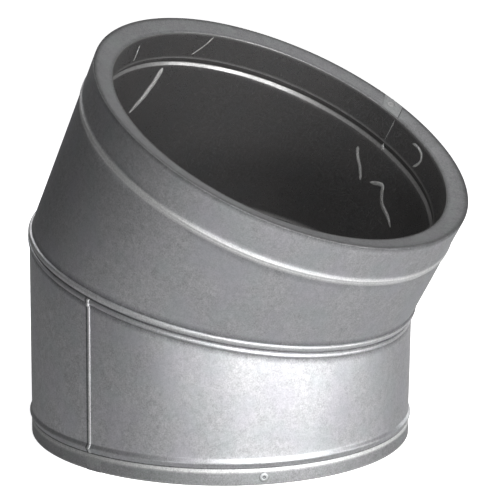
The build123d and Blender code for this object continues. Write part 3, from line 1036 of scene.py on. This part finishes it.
@dataclass
class Liner:
    """The stainless liner in two mitred gores, with the sleeve in its mouth."""

    finishes: Finishes
    top_depth: float = 17.0
    stop_depth: float = 48.4
    stop_width: float = 10.0
    stop_rise: float = 2.0
    cone_low: float = 40.0
    cone_high: float = 47.0
    flange: float = 4.0
    flange_sheet: float = 0.7
    slant_reach: float = 4.0
    lower_wave: Wave = Wave(0.5, 55.0, 2.6)
    upper_wave: Wave = Wave(0.5, 55.0, 9.4)
    sleeve_wave: Wave = Wave(0.25, 55.0, 6.1)
    sleeve_top: float = 6.0
    sleeve_depth: float = 42.3
    slit: float = 0.5
    slit_azimuth: float = 89.5
    rib_sink: float = 0.08
    rib_sheet: float = 0.12
    liner_kinks: tuple[Kink, ...] = (
        Kink(
            ((180.0, 57.0), (180.8, 68.0), (181.5, 80.0), (183.0, 90.0), (183.5, 97.0), (188.0, 120.0)),
            8.0,
            1.1,
        ),
        Kink(((98.5, 70.0), (97.5, 80.0), (94.0, 92.0), (91.5, 106.0)), 5.0, 0.35),
        Kink(
            ((87.8, 99.0), (84.5, 92.0), (81.7, 88.0), (81.0, 97.0), (78.4, 110.0))
            + ((73.0, 113.0), (69.0, 120.0)),
            6.6,
            1.0,
        ),
        Kink(((89.9, 43.0), (89.4, 54.0), (88.6, 76.0)), 1.3, 0.15),
        Kink(((90.0, 46.5), (89.6, 49.0), (89.2, 52.0)), 4.6, 0.7),
    )
    sleeve_kinks: tuple[Kink, ...] = (
        Kink(
            ((78.4, 16.5), (76.8, 14.0), (73.6, 14.5), (71.7, 17.5), (71.0, 24.5))
            + ((71.7, 31.0), (73.4, 37.5)),
            4.2,
            0.8,
        ),
        Kink(((-161.6, 15.0), (-161.8, 26.0), (-161.6, 38.0)), 2.4, 0.2),
        Kink(((164.0, 9.0), (166.0, 22.0), (170.0, 37.0)), 1.8, 0.1),
        Kink(((90.0, 8.0), (90.0, 24.0), (90.0, 41.0)), 1.0, 0.1),
    )

    def build_upper(self) -> None:
        """Build the upper gore with its stop bead."""
        inner = SIZES.liner_r
        sheet = SIZES.liner_sheet
        top = SIZES.leg
        stop = groove(inner, top - self.stop_depth, self.stop_width, self.stop_rise)
        # Crevice mark at the mitre edge: painted shade; crest mark just above it: painted highlight, partly
        # wear.
        points = [Point(inner, 0.0, 0.0, 1.0), Point(inner, 0.8, 0.5)]
        points += run(inner, 1.0, stop[0].height, 26)
        points += stop
        points += run(inner, stop[-1].height, top - self.top_depth, 4)
        points += [Point(inner, top - self.top_depth), Point(inner + sheet, top - self.top_depth)]
        points += [Point(p.radius + sheet, p.height) for p in reversed(stop)]
        points += [
            Point(inner + sheet, 1.5),
            Point(inner + sheet, self.flange_sheet),
            Point(inner + sheet + self.flange, self.flange_sheet),
            Point(inner + sheet + self.flange, 0.0),
        ]
        self.finish(points, Leg.UPPER, self.upper_wave)

    def build_lower(self) -> None:
        """Build the lower gore with its reduced spigot."""
        inner = SIZES.liner_r
        sheet = SIZES.liner_sheet
        top = SIZES.leg
        reduced = SIZES.spigot_r - sheet
        points = [Point(reduced, 0.0), Point(reduced, 12.0), Point(reduced, 26.0)]
        # Crest mark at the cone's foot: painted highlight, partly wear; crevice mark at its top: painted
        # shade.
        points += [Point(reduced, self.cone_low, 0.3), Point(inner, self.cone_high, 0.0, 0.5)]
        points += run(inner, self.cone_high, top - 1.0, 24)
        points += [
            # Crest mark below the top edge: painted highlight, partly wear; crevice mark on the edge: painted
            # shade.
            Point(inner, top - 0.8, 0.5),
            Point(inner, top, 0.0, 1.0),
            Point(inner + sheet + self.flange, top),
            Point(inner + sheet + self.flange, top - self.flange_sheet),
            Point(inner + sheet, top - self.flange_sheet),
            Point(inner + sheet, top - 1.5),
            Point(inner + sheet, self.cone_high),
            Point(reduced + sheet, self.cone_low),
            Point(reduced + sheet, 0.0),
        ]
        self.finish(points, Leg.LOWER, self.lower_wave)

    def finish(self, points: list[Point], leg: Leg, wave: Wave) -> None:
        """Turn, dent, mitre and hand over one gore."""
        tube = Turned(points)
        tube.shape(wave.push)
        LegFrame(leg).warp(tube.bm, self.slant_reach)
        if leg is Leg.UPPER:
            for kink in self.liner_kinks:
                self.press(tube.bm, kink, SIZES.liner_r)
        node = f"liner_{leg.value}"
        hand_over(tube.bm, f"{node}_sheet", node, leg, self.finishes.liner[leg])

    def build_sleeve(self) -> None:
        """Build the mouth sleeve, open at its slit."""
        inner = SIZES.sleeve_r
        outer = SIZES.liner_r
        top = SIZES.leg - self.sleeve_top
        low = SIZES.leg - self.sleeve_depth
        # Crest marks at the sleeve's ends: painted highlight, partly wear.
        points = [Point(inner, low + 0.2, 0.3)]
        points += run(inner, low, top, 10)
        points += [Point(inner, top - 0.2, 0.3), Point(inner + 0.2, top)]
        points += [Point(outer, top), Point(outer, low), Point(inner + 0.2, low, 0.2)]
        gap = math.degrees(self.slit / inner)
        sleeve = Turned(points, ROUND_STEPS, self.slit_azimuth + gap / 2, 360.0 - gap)
        sleeve.shape(self.sleeve_wave.push)
        for kink in self.sleeve_kinks:
            self.press(sleeve.bm, kink, inner)
        steel = self.finishes.liner[Leg.UPPER]
        hand_over(sleeve.bm, "mouth_sleeve_sheet", "mouth_sleeve", Leg.UPPER, steel)

    def press(self, target: BMesh, kink: Kink, radius: float) -> None:
        """Press a narrow crease into the wall as a low rounded rib.

        Args:
            target: Leg-local mesh that takes the rib.
            kink: Line of the crease.
            radius: Inner radius of the wall.
        """
        line = kink.smooth()
        sides = 3
        rib = bmesh.new()
        crest = rib.verts.layers.float.new(CREST_LAYER)
        rib.verts.layers.float.new(CREVICE_LAYER)
        rows = []
        for number, (azimuth, depth) in enumerate(line):
            before = line[max(0, number - 1)]
            after = line[min(len(line) - 1, number + 1)]
            run_around = math.radians(after[0] - before[0]) * radius
            run_down = after[1] - before[1]
            length = math.hypot(run_around, run_down) or 1.0
            share = number / (len(line) - 1)
            taper = min(1.0, 5.0 * share + 0.15, 5.0 * (1.0 - share) + 0.15)
            row = []
            for side in range(-sides, sides + 1):
                across = side / sides * kink.width / 2 * taper
                lift = kink.rise * taper * (1.0 - (side / sides) ** 2) - self.rib_sink
                around = math.radians(azimuth) + across * run_down / length / radius
                down = depth - across * run_around / length
                reach = radius - lift
                vert = rib.verts.new((reach * math.cos(around), reach * math.sin(around), SIZES.leg - down))
                # The rib's crest mark lightens it: painted highlight for the bright reflection strokes on the
                # shiny wall.
                vert[crest] = 1.0 if abs(side) < sides else 0.4
                row.append(vert)
            rows.append(row)
        for low, high in zip(rows, rows[1:]):
            for n in range(2 * sides):
                rib.faces.new((low[n], low[n + 1], high[n + 1], high[n]))
        bmesh.ops.solidify(rib, geom=rib.faces[:], thickness=self.rib_sheet)
        add_mesh(target, rib)

    def build(self) -> None:
        """Build both gores and the mouth sleeve."""
        self.build_upper()
        self.build_lower()
        self.build_sleeve()


@dataclass
class Rivets:
    """The blind rivets of the foot band, the upper ring and the mouth sleeve."""

    finishes: Finishes
    head_r: float = 5.2
    head_rise: float = 1.0
    ring_rise: float = 0.6
    sleeve_rise: float = 0.3
    shank_r: float = 2.4
    shank_depth: float = 2.4
    band_azimuth: float = -33.0
    band_count: int = 3
    band_z: float = 8.6
    ring_azimuth: float = 96.0
    ring_r: float = 217.0
    sleeve_azimuth: float = 92.0
    sleeve_depth: float = 35.0

    def head(
        self, seat: Matrix, rise: float, painted_shade: float = 1.0, wear_and_highlight: float = 0.2, dimple: float = 0.65
    ) -> BMesh:
        """Domed head with a mandrel dimple.

        Args:
            seat: Frame of its seat, with local Z pointing out of the sheet.
            rise: Height of the dome.
            painted_shade: Painted shade round the head and in the dimple.
            wear_and_highlight: Wear and painted highlight on the dome.
            wear_and_highlight: Wear on the dome.
            dimple: Depth of the dimple as a share of the rise.
        """
        profile = [
            Point(0.05, -self.shank_depth),
            Point(self.shank_r, -self.shank_depth),
            Point(self.shank_r, 0.0),
            Point(self.head_r, 0.0, 0.0, painted_shade),
            Point(self.head_r, rise * 0.3, 0.0, painted_shade),
            Point(self.head_r * 0.88, rise * 0.7, wear_and_highlight * 0.6),
            Point(self.head_r * 0.65, rise * 0.95, wear_and_highlight),
            Point(self.head_r * 0.4, rise, wear_and_highlight),
            Point(self.head_r * 0.33, rise * (1.0 - dimple * 0.3), 0.0, painted_shade * 0.9),
            Point(self.head_r * 0.28, rise * (1.0 - dimple), 0.0, painted_shade),
            Point(0.05, rise * (1.0 - dimple), wear_and_highlight * 0.6),
        ]
        bm = Turned(profile, 32).bm
        bm.transform(seat)
        return bm

    def on_wall(self, azimuth: float, radius: float, height: float, inward: bool = False) -> Matrix:
        """Frame whose local Z points out of (or into) a tube wall."""
        turn = Matrix.Rotation(math.radians(azimuth), 4, "Z")
        out = Matrix.Translation((radius, 0.0, height))
        lean = Matrix.Rotation(math.radians(-90.0 if inward else 90.0), 4, "Y")
        return turn @ out @ lean

    def build(self, rings: EndRings) -> None:
        """Build the three sets."""
        zinc, steel = self.finishes.rivet, self.finishes.liner[Leg.UPPER]
        band = bmesh.new()
        for number in range(self.band_count):
            azimuth = self.band_azimuth + number * 360.0 / self.band_count
            add_mesh(band, self.head(self.on_wall(azimuth, SIZES.band_r, self.band_z), self.head_rise))
        hand_over(band, "spigot_band_rivet_set", "spigot_band_rivets", Leg.LOWER, zinc)

        height = rings.face_height(self.ring_r) + rings.lap_step
        turn = Matrix.Rotation(math.radians(self.ring_azimuth), 4, "Z")
        lean = Matrix.Rotation(-rings.slope, 4, "Y")
        face = turn @ Matrix.Translation((self.ring_r, 0.0, height)) @ lean
        # The ring rivet's dome is lightened as a painted highlight.
        ring = self.head(face, self.ring_rise, painted_shade=0.0, wear_and_highlight=0.45, dimple=0.1)
        hand_over(ring, "end_ring_rivet_head", "end_ring_rivet", Leg.UPPER, zinc)

        wall = self.on_wall(self.sleeve_azimuth, SIZES.sleeve_r, SIZES.leg - self.sleeve_depth, inward=True)
        inside = self.head(wall, self.sleeve_rise, painted_shade=0.5, wear_and_highlight=0.0, dimple=0.3)
        hand_over(inside, "mouth_sleeve_rivet_head", "mouth_sleeve_rivet", Leg.UPPER, steel)


@dataclass
class Blankets:
    """The two fibre blankets, kept as the frame's own solids."""

    finishes: Finishes

    def build(self) -> None:
        """Dress the blankets."""
        for leg in Leg:
            name = f"insulation_{leg.value}"
            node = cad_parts[name]
            node.data.materials.clear()
            node.data.materials.append(self.finishes.blanket)
            log.info("%s dressed", name)


@dataclass(frozen=True)
class Softbox:
    """One soft round light: angles in degrees, power in watts, distance and size in metres."""

    bearing: float
    height: float
    power: float
    distance: float = 2.2
    size: float = 0.9


@dataclass
class Studio:
    """Pale floor, soft light and the camera."""

    camera_place: tuple[float, float, float] = (1.2293, -1.2245, 0.5373)
    camera_forward: tuple[float, float, float] = (-0.6831, 0.7073, -0.1821)
    camera_roll: float = 0.0119
    lens: float = 105.75
    sensor: float = 36.0
    floor_size: float = 60.0
    floor_bounce: tuple[float, float, float, float] = (0.42, 0.42, 0.42, 1.0)
    ambient: float = 0.03
    backdrop: float = 1.05
    target: tuple[float, float, float] = (0.0, 0.0, 0.2)
    softboxes: tuple[Softbox, ...] = (
        Softbox(0.0, -8.0, 48.1),
        Softbox(-30.0, -8.0, 42.6),
        Softbox(0.0, 35.0, 22.7),
        Softbox(-60.0, -8.0, 14.0),
        Softbox(30.0, -8.0, 20.7),
        Softbox(-30.0, 35.0, 19.9),
        Softbox(-180.0, 35.0, 5.0),
        Softbox(90.0, -8.0, 9.4),
        Softbox(-60.0, 62.0, 7.3),
        Softbox(30.0, 35.0, 4.5),
        Softbox(150.0, 35.0, 5.0),
        Softbox(110.0, 62.0, 3.5),
    )

    def light(self, number: int, softbox: Softbox) -> None:
        """Hang one softbox so that it faces the object."""
        bearing = math.radians(softbox.bearing)
        height = math.radians(softbox.height)
        level = math.cos(height)
        away = Vector((math.cos(bearing) * level, math.sin(bearing) * level, math.sin(height)))
        data = bpy.data.lights.new(f"softbox_{number}", "AREA")
        data.shape = "DISK"
        data.size = softbox.size
        data.energy = softbox.power
        lamp = bpy.data.objects.new(data.name, data)
        turn = (-away).to_track_quat("-Z", "Y").to_matrix().to_4x4()
        lamp.matrix_world = Matrix.Translation(Vector(self.target) + away * softbox.distance) @ turn
        lamp.visible_camera = False
        bpy.context.scene.collection.objects.link(lamp)

    def floor(self) -> None:
        """Large pale floor, glowing for camera rays and dimmer near the object as a painted contact shadow.
        """
        bm = bmesh.new()
        bmesh.ops.create_grid(bm, x_segments=1, y_segments=1, size=self.floor_size)
        mesh = bpy.data.meshes.new("floor")
        bm.to_mesh(mesh)
        bm.free()
        material, graph, shader = new_material("pale_floor")
        coordinates = graph.node("ShaderNodeTexCoord").outputs["Object"]
        seen = graph.node("ShaderNodeLightPath").outputs["Is Camera Ray"]
        cloud = graph.noise(coordinates, 1.5, 3.0, 0.5)
        near = graph.mix(cloud, (0.9, 0.9, 0.9, 1.0), (0.94, 0.94, 0.94, 1.0))
        distance = graph.node("ShaderNodeVectorMath", {0: coordinates}, operation="LENGTH")
        # Camera-ray glow rises with distance from the object: a painted contact shadow near the base.
        lit = graph.spread(distance.outputs["Value"], 0.25, 0.55, 0.75, 1.1)
        inputs = {
            "Base Color": graph.mix(seen, self.floor_bounce, near),
            "Roughness": 0.9,
            "Emission Color": WHITE,
            "Emission Strength": graph.math("MULTIPLY", seen, lit),
        }
        graph.feed(shader, inputs)
        mesh.materials.append(material)
        piece = bpy.data.objects.new("floor", mesh)
        bpy.context.scene.collection.objects.link(piece)

    def world(self) -> None:
        """White behind the object, dim grey for its reflections."""
        world = bpy.data.worlds.new("studio")
        bpy.context.scene.world = world
        world.use_nodes = True
        graph = Graph(world.node_tree)
        seen = graph.node("ShaderNodeLightPath").outputs["Is Camera Ray"]
        strength = graph.spread(seen, 0.0, 1.0, self.ambient, self.backdrop)
        background = graph.node("ShaderNodeBackground", {"Strength": strength, "Color": WHITE})
        graph.node("ShaderNodeOutputWorld", {"Surface": background.outputs[0]})

    def camera(self) -> None:
        """Camera at the viewing angle."""
        data = bpy.data.cameras.new("view")
        data.lens = self.lens
        data.sensor_width = self.sensor
        camera = bpy.data.objects.new("view", data)
        turn = Vector(self.camera_forward).to_track_quat("-Z", "Y").to_matrix().to_4x4()
        roll = Matrix.Rotation(self.camera_roll, 4, "Z")
        camera.matrix_world = Matrix.Translation(self.camera_place) @ turn @ roll
        bpy.context.scene.collection.objects.link(camera)
        bpy.context.scene.camera = camera

    def build(self) -> None:
        """Set the whole stage."""
        self.floor()
        self.world()
        for number, softbox in enumerate(self.softboxes):
            self.light(number, softbox)
        self.camera()
        bpy.context.scene.view_settings.view_transform = "Standard"
        bpy.context.scene.view_settings.look = "None"


def main() -> None:
    """Build every sub-assembly in order."""
    logging.basicConfig(level=logging.INFO, format="%(message)s")
    finishes = Finishes()
    Casing(finishes).build()
    SpigotBand(finishes).build()
    rings = EndRings(finishes)
    rings.build()
    Liner(finishes).build()
    Rivets(finishes).build(rings)
    Blankets(finishes).build()
    Studio().build()


if __name__ == "__main__":
    main()
